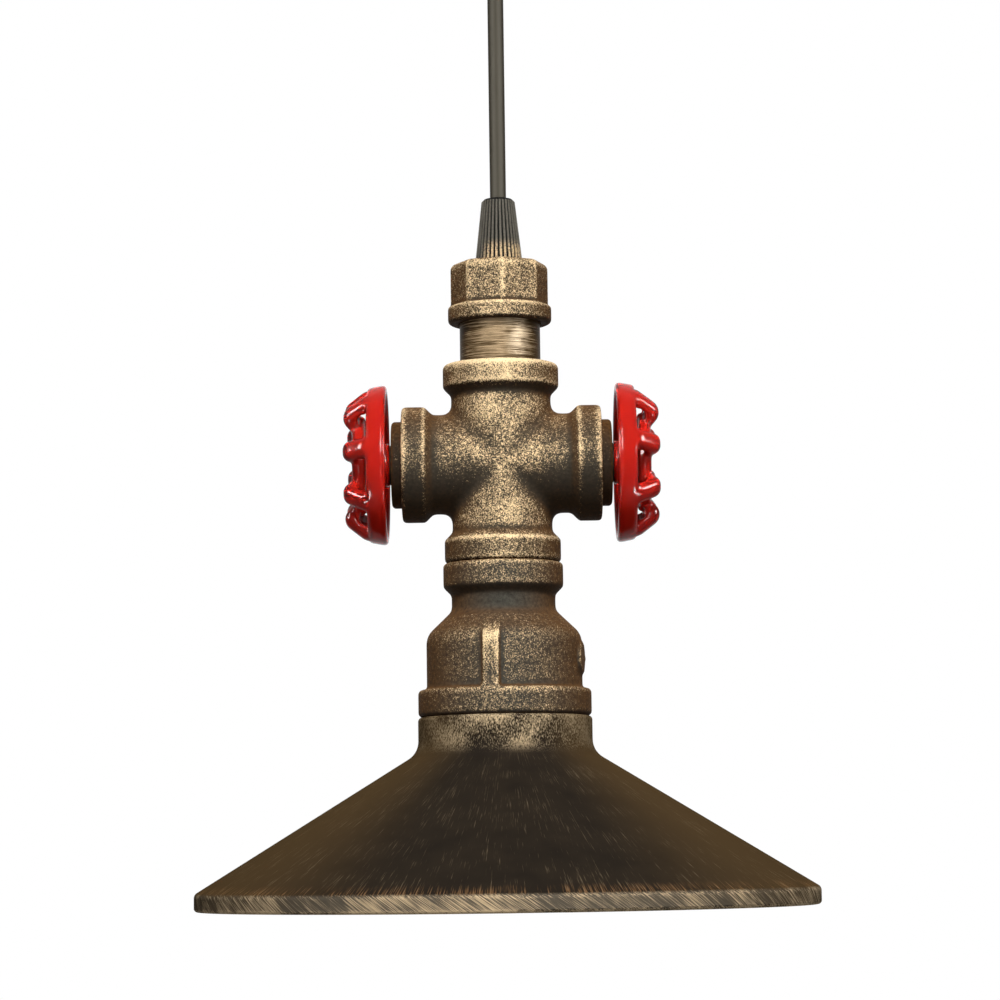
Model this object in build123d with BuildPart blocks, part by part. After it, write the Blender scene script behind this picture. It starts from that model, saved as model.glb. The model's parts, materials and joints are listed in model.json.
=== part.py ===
"""Hanging lamp made of pipe fittings, in millimetres.

The lamp hangs on the Z axis, +Z up. The origin is where that axis meets the ceiling, +X points to the
right-hand handwheel, and -Y points to whoever stands in front of the lamp.
"""
import os
from math import cos, radians, sin, sqrt

from build123d import *

os.makedirs("parts", exist_ok=True)

# Clearances
screw_gap = 0.1  # radial, between a screwed piece and its threaded hole
slip_gap = 0.2  # radial, between pieces that are pushed together
running_gap = 0.05  # radial, round a turning stem
end_float = 0.05  # along a turning stem
cord_gap = 0.45  # round the cord's ends, where they bend in their grips
core_gap = 0.15  # radial, round a wire core in its terminal hole
line_tolerance = 0.02  # for finding the edges that lie on a line

# Ceiling canopy and the bracket that it is screwed to
canopy_radius = 48.0
canopy_height = 24.0
canopy_wall = 1.2
canopy_corner = 7.0
bracket_clearance = 4.8  # from each end of the bracket to the canopy's wall
bracket_width = 22.0
bracket_thickness = 2.0
stud_from_end = 8.0  # from each end of the bracket to a stud
stud_radius = 2.0
ceiling_hole_from_stud = 12.0
ceiling_hole_radius = 2.4
cap_nut_radius = 4.2
cap_nut_height = 6.5
cap_nut_roof = 1.5
terminal_length = 24.0
terminal_width = 15.0
terminal_height = 8.0
terminal_screw_radius = 1.8
terminal_screw_spacing = 16.0
terminal_screw_depth = 3.0
terminal_screw_head = 0.6
terminal_hole_depth = 4.0

# Cord, and the grip at its upper end
cord_radius = 2.7
cord_length = 72.0  # between the points where it bends
core_radius = 1.0
core_offset = 1.4
core_bare = 2.6  # length of core that shows past its sheath
canopy_grip_length = 13.8
canopy_grip_flange_radius = 8.5
canopy_grip_flange = 2.5
canopy_grip_top_radius = 7.2
canopy_grip_tip_radius = 5.4
canopy_grip_shank = 9.0
grip_nut_flats = 17.0
grip_nut_height = 4.0

# Lamp's cord grip
grip_height = 21.8
grip_top_radius = 5.5
grip_bottom_radius = 7.95
grip_flutes = 32
grip_flute_radius = 0.42
grip_top_bevel = 0.8
grip_socket = 10.4
grip_screw_radius = 1.5
grip_screw_below_top = 7.6
grip_screw_head = 0.5

# Threaded tube through the fittings
tube_radius = 5.0
tube_bore = 3.5
tube_in_holder = 9.0
lock_nut_flats = 17.0
lock_nut_height = 5.0

# Pipe and cap
pipe_radius = 13.45
pipe_wall = 2.65
pipe_engagement = 12.0
pipe_socket = 14.0
nipple_showing = 13.9
cap_height = 20.5
cap_corner_radius = 16.45
cap_turn = 4.0  # degrees from the front to the nearest upright edge
cap_top_round = 2.2
cap_edge_round = 1.0
cap_bead_radius = 17.3
cap_bead_height = 5.8
cap_roof = 3.5
bead_round = 1.2  # on every cast bead

# Cross
cross_half = 33.2
cross_neck_radius = 16.6
cross_bead_radius = 19.3
cross_bead_length = 7.6
cross_wall = 4.0
cross_corner_round = 3.0

# Side plugs, stems and washers
plug_flange_radius = 14.45
plug_flange = 3.4
plug_round = 1.3
plug_shank = 11.0
stem_radius = 4.0
stem_collar_radius = 6.5
stem_collar = 2.5
stem_square = 5.6
stem_thread_radius = 2.5
stem_thread_end = 0.7  # nut stands this far past the stem's tip
stem_washer_radius = 6.6
stem_washer = 0.6
wheel_nut_flats = 8.0
wheel_nut_height = 3.1
wheel_nut_round = 0.8

# Handwheels
wheel_radius = 26.9
wheel_gap = 1.3  # from the plug to the wheel's back edge
wheel_skirt_depth = 6.6
wheel_skirt_wall = 3.0
wheel_skirt_taper = 1.2  # how much smaller the skirt's front edge is than its back edge
wheel_skirt_round = 1.2
wheel_plate_radius = 16.6
wheel_plate_back = 7.2
wheel_plate_front = 11.4
wheel_plate_round = 1.6
wheel_ridges = 8
wheel_ridge_width = 6.8
wheel_ridge_round = 2.6
wheel_crest_depth = 14.3
wheel_crest_radius = 18.6
wheel_crest_flat = 3.2
wheel_crest_round = 3.8
wheel_shoulder_rise = 0.9  # from the skirt's front to where a ridge leans in
wheel_ridge_foot = 10.4  # radius where a ridge runs out on the plate
wheel_ridge_sunk = 1.1  # how deep each ridge is rooted in the skirt
wheel_eye = 4.4  # clear width under each ridge, between the plate and the ridge's root
wheel_eye_corner = 1.2
wheel_hub_radius = 7.3
wheel_hub_depth = 8.4
wheel_nut_room = 1.0
right_wheel_turn = -12.0  # degrees from the front to one ridge
left_wheel_turn = 8.0

# Bell reducer
reducer_height = 50.9
reducer_top_bead_radius = 19.9
reducer_top_bead = 8.0
reducer_neck_radius = 17.2
reducer_neck_end = 15.9  # down from the top, where the shoulder starts
reducer_neck_round = 3.0
reducer_shoulder_round = 6.5
reducer_shoulder_rise = 8.2
reducer_radius = 25.75
reducer_bead_radius = 28.65
reducer_bead = 9.0
reducer_wall = 3.5
reducer_neck_wall = 4.0
reducer_ribs = 2
reducer_rib_width = 5.6
reducer_rib_proud = 1.3
reducer_rib_root = 2.5  # how deep each rib is rooted in the barrel's wall
reducer_rib_rise = 1.6  # from the barrel's upper end to a rib's root in the shoulder
reducer_rib_round = 4.0
reducer_rib_flare = 4.0  # height over which a rib's foot runs out on the bead
reducer_rib_turn = -9.6  # degrees from the front to the nearest rib
reducer_pad_turn = 80.0
reducer_pad_radius = 5.3
reducer_pad_proud = 0.7
reducer_pad_below = 32.0  # down from the reducer's top

# Shade
shade_height = 62.6
shade_neck_height = 11.7
shade_neck_radius = 28.8
shade_rim_radius = 102.7
shade_rim_band = 5.6
shade_sheet = 1.0
shade_top_round = 1.4
shade_neck_round = 7.0
shade_rim_round = 2.2
shade_hem_radius = 1.2

# Lampholder and the ring that clamps the shade to it
ring_height = 6.0
ring_radius = 25.5
ring_notches = 12
ring_notch_radius = 1.6
ring_round = 0.8
holder_below_ring = 2.0
holder_skirt_length = 26.0
holder_skirt_wall = 2.2
holder_dome_height = 17.0
holder_dome_bulge = 2.4
holder_dome_wall = 2.0
holder_collar_radius = 8.0
holder_collar_height = 5.0
insert_wall = 3.1
insert_floor = 5.0
insert_set_back = 2.0
insert_seat = 0.3
shell_wall = 0.5
screw_shell_gap = 0.3
contact_radius = 4.5
contact_thickness = 0.8
contact_gap = 0.3
holder_terminal_radius = 2.4
holder_terminal_height = 2.2
holder_terminal_offset = 9.0

# Bulb
bulb_length = 70.0
bulb_radius = 22.5
bulb_fullness = 0.8  # how long the glass stays wide above its middle
bulb_neck_fullness = 0.15
bulb_wall = 0.8
bulb_cap_radius = 13.1
bulb_cap_length = 21.0
bulb_cap_wall = 0.6
bulb_cap_threads = 5
bulb_first_thread = 2.72  # below the top of the cap
bulb_thread_pitch = 3.63
bulb_thread_depth = 0.9
bulb_in_cap = 4.0
insulator_height = 3.5
insulator_radius = 10.5
eyelet_radius = 4.8
eyelet_height = 1.2

# Spacings in the ceiling fitting, inwards from the canopy's wall
bracket_length = 2 * (canopy_radius - canopy_wall - bracket_clearance)
stud_spacing = bracket_length - 2 * stud_from_end
ceiling_hole_spacing = stud_spacing - 2 * ceiling_hole_from_stud

# Heights, from the ceiling down
canopy_bottom = -canopy_height
upper_bend = canopy_bottom - canopy_grip_length
lower_bend = upper_bend - cord_length
grip_bottom = lower_bend - grip_height
cap_ceiling = grip_bottom - cap_roof
cap_bottom = grip_bottom - cap_height
cross_top = cap_bottom - nipple_showing
cross_z = cross_top - cross_half
cross_bottom = cross_z - cross_half
reducer_bottom = cross_bottom - reducer_height
shade_top = reducer_bottom
rim_bottom = shade_top - shade_height
ring_top = shade_top - shade_sheet
ring_bottom = ring_top - ring_height
holder_mouth = ring_bottom - holder_below_ring
holder_skirt_top = holder_mouth + holder_skirt_length
holder_top = holder_skirt_top + holder_dome_height
tube_top = grip_bottom + grip_socket
tube_bottom = holder_top - tube_in_holder
insert_top = holder_skirt_top - insert_seat
insert_underside = insert_top - insert_floor
insert_bottom = holder_mouth + insert_set_back
bulb_top = insert_underside - contact_thickness - contact_gap
insulator_top = bulb_top - eyelet_height
bulb_cap_top = insulator_top - insulator_height
bulb_cap_bottom = bulb_cap_top - bulb_cap_length
bulb_bottom = bulb_top - bulb_length

# Radii that follow from what sits inside
cord_pocket = cord_radius + cord_gap
lead_hole = cord_radius + running_gap
pipe_bore = pipe_radius - pipe_wall
pipe_hole = pipe_radius + screw_gap
tube_hole = tube_radius + screw_gap
shell_inner = bulb_cap_radius + screw_shell_gap
shell_outer = shell_inner + shell_wall
insert_inner = shell_outer + screw_gap
insert_outer = insert_inner + insert_wall
skirt_inner = insert_outer + slip_gap
skirt_outer = skirt_inner + holder_skirt_wall
ring_hole = skirt_outer + screw_gap

# Places along each side arm, out from the lamp's axis
plug_face = cross_half + plug_flange
plug_inner_face = cross_half - plug_shank
washer_face = plug_face + stem_washer
hub_back = washer_face + end_float
wheel_back = plug_face + wheel_gap
hub_front = wheel_back + wheel_hub_depth
skirt_front = wheel_radius - wheel_skirt_taper


def radial_plane(frame):
    """The plane of a frame's X axis and its Z axis, for outlines of (radius, height)."""
    return Plane(origin=frame.origin, x_dir=frame.x_dir, z_dir=frame.x_dir.cross(frame.z_dir))


def turn(*points, frame=Plane.XY, mode=Mode.ADD):
    """Turn a closed outline of (radius, height) points about a frame's Z axis."""
    with BuildSketch(radial_plane(frame)) as outline:
        with BuildLine():
            Polyline(*points, close=True)
        make_face()
    revolve(outline.sketch, axis=Axis(frame.origin, frame.z_dir), mode=mode)


def turn_tube(outer, inner, low, high, frame=Plane.XY, mode=Mode.ADD):
    """Turn a plain tube, or a rod where inner is 0, between two heights of a frame."""
    turn((inner, low), (outer, low), (outer, high), (inner, high), frame=frame, mode=mode)


def facing(degrees_right):
    """A horizontal direction, counted from the front of the lamp towards its right."""
    angle = radians(degrees_right)
    return Vector(sin(angle), -cos(angle), 0)


def arm_frame(side):
    """The frame of a side arm: Z out along the arm (side 1 is right), X towards the front."""
    return Plane(origin=(0, 0, cross_z), x_dir=(0, -1, 0), z_dir=(side, 0, 0))


def edges_at(part, axis, place):
    """The round edges of a part that lie square to an axis at one place along it."""
    return part.edges().filter_by(GeomType.CIRCLE).filter_by_position(axis, place, place)


def write(piece, name):
    """Label a finished piece and write its file."""
    piece.part.label = name
    export_step(piece.part, f"parts/{name}.step")


# Ceiling canopy: a shallow cup, its rim against the ceiling
with BuildPart() as ceiling_canopy:
    turn_tube(canopy_radius, 0, canopy_bottom, 0)
    fillet(edges_at(ceiling_canopy, Axis.Z, canopy_bottom), canopy_corner)
    offset(amount=-canopy_wall, openings=ceiling_canopy.faces().sort_by(Axis.Z)[-1])
    turn_tube(tube_hole, 0, canopy_bottom, canopy_bottom + canopy_wall, mode=Mode.SUBTRACT)
    with Locations((0, 0, canopy_bottom)):
        with GridLocations(stud_spacing, 0, 2, 1):
            Cylinder(stud_radius + slip_gap, 2 * canopy_wall, mode=Mode.SUBTRACT)
write(ceiling_canopy, "ceiling_canopy")

# Ceiling bracket: a strap with two screw holes, two stud holes and a terminal block below
with BuildPart() as ceiling_bracket:
    with BuildSketch():
        SlotOverall(bracket_length, bracket_width)
        with GridLocations(ceiling_hole_spacing, 0, 2, 1):
            Circle(ceiling_hole_radius, mode=Mode.SUBTRACT)
        with GridLocations(stud_spacing, 0, 2, 1):
            Circle(stud_radius + screw_gap, mode=Mode.SUBTRACT)
    extrude(amount=-bracket_thickness)
write(ceiling_bracket, "ceiling_bracket")

# Studs: flush with the top of the bracket, down through the canopy into the cap nuts
stud_end = canopy_bottom - cap_nut_height + cap_nut_roof
with BuildPart() as bracket_studs:
    with BuildSketch():
        with GridLocations(stud_spacing, 0, 2, 1):
            Circle(stud_radius)
    extrude(amount=stud_end)
write(bracket_studs, "bracket_studs")

# Domed nuts under the canopy
with BuildPart() as canopy_nuts:
    with BuildSketch(Plane.XY.offset(canopy_bottom)):
        with GridLocations(stud_spacing, 0, 2, 1):
            Circle(cap_nut_radius)
    extrude(amount=-cap_nut_height)
    fillet(edges_at(canopy_nuts, Axis.Z, canopy_bottom - cap_nut_height), cap_nut_radius - stud_radius)
    with BuildSketch(Plane.XY.offset(canopy_bottom)):
        with GridLocations(stud_spacing, 0, 2, 1):
            Circle(stud_radius + screw_gap)
    extrude(amount=cap_nut_roof - cap_nut_height, mode=Mode.SUBTRACT)
write(canopy_nuts, "canopy_nuts")

# Grip under the canopy: flange, tapered nose with a round pocket, and a threaded shank
shank_top = canopy_bottom + canopy_grip_shank
canopy_grip_shoulder = canopy_bottom - canopy_grip_flange
with BuildPart() as canopy_cord_grip:
    turn(
        (0, shank_top),
        (tube_radius, shank_top),
        (tube_radius, canopy_bottom),
        (canopy_grip_flange_radius, canopy_bottom),
        (canopy_grip_flange_radius, canopy_grip_shoulder),
        (canopy_grip_top_radius, canopy_grip_shoulder),
        (canopy_grip_tip_radius, upper_bend),
        (0, upper_bend),
    )
    turn_tube(lead_hole, 0, upper_bend, shank_top, mode=Mode.SUBTRACT)
    with Locations((0, 0, upper_bend)):
        Sphere(cord_pocket, mode=Mode.SUBTRACT)
write(canopy_cord_grip, "canopy_cord_grip")

# Nut on that shank, inside the canopy
with BuildPart() as canopy_grip_nut:
    with BuildSketch(Plane.XY.offset(canopy_bottom + canopy_wall)):
        RegularPolygon(grip_nut_flats / 2, 6, major_radius=False)
        Circle(tube_hole, mode=Mode.SUBTRACT)
    extrude(amount=grip_nut_height)
write(canopy_grip_nut, "canopy_grip_nut")

# Lead and its two cores, from the canopy's grip up into the terminal block
terminal_bottom = -bracket_thickness - terminal_height
canopy_lead_top = terminal_bottom - core_bare
with BuildPart() as canopy_lead:
    turn_tube(cord_radius, 0, upper_bend + cord_pocket, canopy_lead_top)
write(canopy_lead, "canopy_lead")

with BuildPart() as canopy_cores:
    with BuildSketch(Plane.XY.offset(canopy_lead_top)):
        with GridLocations(2 * core_offset, 0, 2, 1):
            Circle(core_radius)
    extrude(amount=core_bare + terminal_hole_depth)
write(canopy_cores, "canopy_cores")

# Terminal block under the bracket, with a screw at each end
with BuildPart() as terminal_block:
    with BuildSketch(Plane.XY.offset(terminal_bottom)):
        RectangleRounded(terminal_length, terminal_width, terminal_screw_radius)
    extrude(amount=terminal_height)
    with BuildSketch(Plane.XY.offset(terminal_bottom)):
        with GridLocations(2 * core_offset, 0, 2, 1):
            Circle(core_radius + core_gap)
    extrude(amount=terminal_hole_depth, mode=Mode.SUBTRACT)
    with BuildSketch(Plane.XY.offset(terminal_bottom)):
        with GridLocations(terminal_screw_spacing, 0, 2, 1):
            Circle(terminal_screw_radius + screw_gap)
    extrude(amount=terminal_screw_depth, mode=Mode.SUBTRACT)
write(terminal_block, "terminal_block")

with BuildPart() as terminal_screws:
    with BuildSketch(Plane.XY.offset(terminal_bottom - terminal_screw_head)):
        with GridLocations(terminal_screw_spacing, 0, 2, 1):
            Circle(terminal_screw_radius)
    extrude(amount=terminal_screw_head + terminal_screw_depth)
write(terminal_screws, "terminal_screws")

# Cord: a straight run with a round end in each grip's pocket
with BuildPart() as cord:
    turn_tube(cord_radius, 0, lower_bend, upper_bend)
    for bend in (lower_bend, upper_bend):
        with Locations((0, 0, bend)):
            Sphere(cord_radius)
write(cord, "cord")
print("cord radii: none, the run is straight")

# Lamp's cord grip: a fluted cone over the tube's top end
with BuildPart() as cord_grip:
    for radius, height in ((grip_bottom_radius, grip_bottom), (grip_top_radius, lower_bend)):
        with BuildSketch(Plane.XY.offset(height)):
            Circle(radius)
            with PolarLocations(radius, grip_flutes):
                Circle(grip_flute_radius * radius / grip_bottom_radius, mode=Mode.SUBTRACT)
    loft(ruled=True)
    turn(
        (0, grip_bottom),
        (grip_bottom_radius, grip_bottom),
        (grip_bottom_radius, lower_bend - grip_top_bevel - grip_bottom_radius + grip_top_radius),
        (grip_top_radius - grip_top_bevel, lower_bend),
        (0, lower_bend),
        mode=Mode.INTERSECT,
    )
    turn_tube(lead_hole, 0, grip_bottom, lower_bend, mode=Mode.SUBTRACT)
    turn_tube(tube_hole, 0, grip_bottom, tube_top, mode=Mode.SUBTRACT)
    with Locations((0, 0, lower_bend)):
        Sphere(cord_pocket, mode=Mode.SUBTRACT)
    with BuildSketch(Plane.XZ.offset(-lead_hole)):
        with Locations((0, lower_bend - grip_screw_below_top)):
            Circle(grip_screw_radius + screw_gap)
    extrude(amount=-grip_bottom_radius, mode=Mode.SUBTRACT)
write(cord_grip, "cord_grip")

# Clamp screw in the back of that grip
grip_taper = (grip_bottom_radius - grip_top_radius) / grip_height
grip_radius_at_screw = grip_top_radius + grip_taper * grip_screw_below_top
with BuildPart() as grip_screw:
    with BuildSketch(Plane.XZ.offset(-lead_hole)):
        with Locations((0, lower_bend - grip_screw_below_top)):
            Circle(grip_screw_radius)
    extrude(amount=lead_hole - grip_radius_at_screw - grip_screw_head)
write(grip_screw, "grip_screw")

# Pipe cap: eight-sided, rounded over the top, with a bead round its mouth
with BuildPart() as pipe_cap:
    with BuildSketch(Plane.XY.offset(cap_bottom)):
        RegularPolygon(cap_corner_radius, 8, rotation=cap_turn)
    extrude(amount=cap_height)
    fillet(pipe_cap.edges().filter_by(Axis.Z), cap_edge_round)
    fillet(pipe_cap.faces().sort_by(Axis.Z)[-1].edges(), cap_top_round)
    turn_tube(cap_bead_radius, 0, cap_bottom, cap_bottom + cap_bead_height)
    fillet(edges_at(pipe_cap, Axis.Z, cap_bottom), bead_round)
    bead_top = edges_at(pipe_cap, Axis.Z, cap_bottom + cap_bead_height).sort_by(SortBy.RADIUS)[-1]
    fillet(bead_top, bead_round / 2)
    turn_tube(pipe_hole, 0, cap_bottom, cap_ceiling, mode=Mode.SUBTRACT)
    turn_tube(tube_hole, 0, cap_ceiling, grip_bottom, mode=Mode.SUBTRACT)
write(pipe_cap, "pipe_cap")

# Nut that draws the threaded tube up against the inside of the cap
with BuildPart() as cap_lock_nut:
    with BuildSketch(Plane.XY.offset(cap_ceiling - lock_nut_height)):
        RegularPolygon(lock_nut_flats / 2, 6, major_radius=False)
        Circle(tube_hole, mode=Mode.SUBTRACT)
    extrude(amount=lock_nut_height)
write(cap_lock_nut, "cap_lock_nut")

# Threaded tube, from the cord grip down to the lampholder
with BuildPart() as threaded_tube:
    turn_tube(tube_radius, tube_bore, tube_bottom, tube_top)
write(threaded_tube, "threaded_tube")

# Lead in that tube, and its cores down to the lampholder's terminals
lamp_lead_bottom = insert_top + core_bare
with BuildPart() as lamp_lead:
    turn_tube(cord_radius, 0, lamp_lead_bottom, lower_bend - cord_pocket)
write(lamp_lead, "lamp_lead")

with BuildPart() as lamp_cores:
    with BuildSketch(Plane.XY.offset(lamp_lead_bottom)):
        with GridLocations(2 * core_offset, 0, 2, 1):
            Circle(core_radius)
    extrude(amount=-core_bare)
write(lamp_cores, "lamp_cores")

# Pipe nipples: the one that shows over the cross, and the close one hidden under it
with BuildPart() as top_nipple:
    turn_tube(pipe_radius, pipe_bore, cross_top - pipe_engagement, cap_bottom + pipe_engagement)
write(top_nipple, "top_nipple")

with BuildPart() as lower_nipple:
    turn_tube(pipe_radius, pipe_bore, cross_bottom - pipe_engagement, cross_bottom + pipe_engagement)
write(lower_nipple, "lower_nipple")

# Cross: two beaded barrels at right angles, bored through, with a socket in each mouth
bead_taper_end = cross_half - cross_bead_length - cross_bead_radius + cross_neck_radius
corner_room = bead_taper_end - cross_neck_radius
barrel_bore = cross_neck_radius - cross_wall
cross_frames = [Plane(origin=(0, 0, cross_z), x_dir=(0, 1, 0), z_dir=out) for out in ((0, 0, 1), (1, 0, 0))]
with BuildPart() as cross_fitting:
    for frame in cross_frames:
        turn(
            (0, -cross_half),
            (cross_bead_radius, -cross_half),
            (cross_bead_radius, cross_bead_length - cross_half),
            (cross_neck_radius, -bead_taper_end),
            (cross_neck_radius, bead_taper_end),
            (cross_bead_radius, cross_half - cross_bead_length),
            (cross_bead_radius, cross_half),
            (0, cross_half),
            frame=frame,
        )
    corners = cross_fitting.edges().filter_by(GeomType.ELLIPSE)
    fillet(corners, min(cross_corner_round, corner_room / 2))
    for axis, middle in ((Axis.Z, cross_z), (Axis.X, 0)):
        for mouth in (middle - cross_half, middle + cross_half):
            fillet(edges_at(cross_fitting, axis, mouth), bead_round)
    for frame in cross_frames:
        turn_tube(barrel_bore, 0, -cross_half, cross_half, frame=frame, mode=Mode.SUBTRACT)
        for low, high in ((-cross_half, pipe_socket - cross_half), (cross_half - pipe_socket, cross_half)):
            turn_tube(pipe_hole, 0, low, high, frame=frame, mode=Mode.SUBTRACT)
write(cross_fitting, "cross_fitting")


def build_plug(frame):
    """A plug with a rounded flange, bored for a stem."""
    bore = stem_radius + running_gap
    with BuildPart() as plug:
        turn_tube(pipe_radius, 0, plug_inner_face, cross_half, frame=frame)
        turn_tube(plug_flange_radius, 0, cross_half, plug_face, frame=frame)
        outer_face = plug.faces().sort_by(Axis(frame.origin, frame.z_dir))[-1]
        fillet(outer_face.edges(), plug_round)
        turn_tube(bore, 0, plug_inner_face, plug_face, frame=frame, mode=Mode.SUBTRACT)
    return plug


def build_stem(frame):
    """A stem with an inner collar, a square for the wheel and a threaded tip."""
    collar_face = plug_inner_face - end_float
    tip = hub_front + wheel_nut_height - stem_thread_end
    with BuildPart() as stem:
        turn_tube(stem_collar_radius, 0, collar_face - stem_collar, collar_face, frame=frame)
        turn_tube(stem_radius, 0, collar_face, hub_back, frame=frame)
        with BuildSketch(frame.offset(hub_back)):
            Rectangle(stem_square, stem_square)
        extrude(amount=hub_front - hub_back)
        turn_tube(stem_thread_radius, 0, hub_front, tip, frame=frame)
    return stem


def build_stem_washer(frame):
    """A flat washer between plug and wheel hub."""
    with BuildPart() as washer:
        turn_tube(stem_washer_radius, stem_radius + slip_gap, plug_face, washer_face, frame=frame)
    return washer


def build_wheel_nut(frame):
    """A hexagon nut on the stem's tip, rounded over its front."""
    bore = stem_thread_radius + screw_gap
    with BuildPart() as nut:
        with BuildSketch(frame.offset(hub_front)):
            RegularPolygon(wheel_nut_flats / 2, 6, major_radius=False)
        extrude(amount=wheel_nut_height)
        fillet(nut.faces().sort_by(Axis(frame.origin, frame.z_dir))[-1].edges(), wheel_nut_round)
        turn_tube(bore, 0, hub_front, hub_front + wheel_nut_height, frame=frame, mode=Mode.SUBTRACT)
    return nut


def build_wheel_ridge(frame):
    """One ridge of a handwheel: rooted in the skirt, arched forward, running out on the plate."""
    side_view = radial_plane(frame.offset(wheel_back))
    root = wheel_skirt_depth - wheel_ridge_sunk
    root_outer = skirt_front - screw_gap
    root_inner = wheel_radius - wheel_skirt_wall + screw_gap
    plate_middle = (wheel_plate_back + wheel_plate_front) / 2
    eye_outer = wheel_plate_radius + wheel_eye
    with BuildPart() as ridge:
        with BuildSketch(side_view):
            with BuildLine():
                back_line = FilletPolyline(
                    (root_outer, root),
                    (root_outer, wheel_skirt_depth + wheel_shoulder_rise),
                    (wheel_crest_radius + wheel_crest_flat / 2, wheel_crest_depth),
                    (wheel_crest_radius - wheel_crest_flat / 2, wheel_crest_depth),
                    (wheel_ridge_foot, plate_middle),
                    radius=wheel_crest_round,
                )
                Polyline(
                    back_line @ 1,
                    (eye_outer - wheel_eye_corner, plate_middle),
                    (eye_outer, plate_middle - wheel_eye_corner),
                    (eye_outer, wheel_skirt_depth),
                    (root_inner, root),
                    back_line @ 0,
                )
            make_face()
        extrude(amount=wheel_ridge_width / 2, both=True)
        placed_line = back_line.moved(side_view.location)

        def on_back(edge):
            """Whether an edge runs along the ridge's back, on either side."""
            middle = edge.position_at(0.5)
            aside = (middle - side_view.origin).dot(side_view.z_dir)
            off_line = placed_line.distance_to(middle - side_view.z_dir * aside)
            return abs(aside) > line_tolerance and off_line < line_tolerance

        fillet(ridge.edges().filter_by(on_back), wheel_ridge_round)
    return ridge


def build_handwheel(frame, ridge_turn):
    """A dished handwheel: skirt ring, front plate and hub, joined by ridges with windows between."""
    back_frame = frame.offset(wheel_back)
    arm = Axis(frame.origin, frame.z_dir)
    ridge = build_wheel_ridge(frame)
    turns = [ridge_turn + count * 360 / wheel_ridges for count in range(wheel_ridges)]
    nut_recess = wheel_nut_flats / sqrt(3) + wheel_nut_room
    with BuildPart() as skirt:
        turn(
            (wheel_radius - wheel_skirt_wall, 0),
            (wheel_radius, 0),
            (skirt_front, wheel_skirt_depth),
            (skirt_front - wheel_skirt_wall, wheel_skirt_depth),
            frame=back_frame,
        )
        fillet(skirt.edges().filter_by(GeomType.CIRCLE), wheel_skirt_round)
    with BuildPart() as plate:
        turn_tube(wheel_plate_radius, 0, wheel_plate_back, wheel_plate_front, frame=back_frame)
        fillet(plate.edges().filter_by(GeomType.CIRCLE), wheel_plate_round)
    with BuildPart() as wheel:
        add(skirt.part)
        add(plate.part)
        add([ridge.part.rotate(arm, degrees) for degrees in turns])
        turn_tube(wheel_hub_radius, 0, hub_back, wheel_back + wheel_plate_front, frame=frame)
        turn_tube(nut_recess, 0, hub_front, wheel_back + wheel_crest_depth, frame=frame, mode=Mode.SUBTRACT)
        with BuildSketch(frame.offset(hub_back)):
            Rectangle(stem_square + 2 * running_gap, stem_square + 2 * running_gap)
        extrude(amount=hub_front - hub_back, mode=Mode.SUBTRACT)
    return wheel


# Both side arms, alike
for side_name, side, ridge_turn in (("right", 1, right_wheel_turn), ("left", -1, left_wheel_turn)):
    write(build_plug(arm_frame(side)), f"{side_name}_plug")
    write(build_stem(arm_frame(side)), f"{side_name}_stem")
    write(build_stem_washer(arm_frame(side)), f"{side_name}_stem_washer")
    write(build_wheel_nut(arm_frame(side)), f"{side_name}_wheel_nut")
    write(build_handwheel(arm_frame(side), ridge_turn), f"{side_name}_handwheel")

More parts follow.
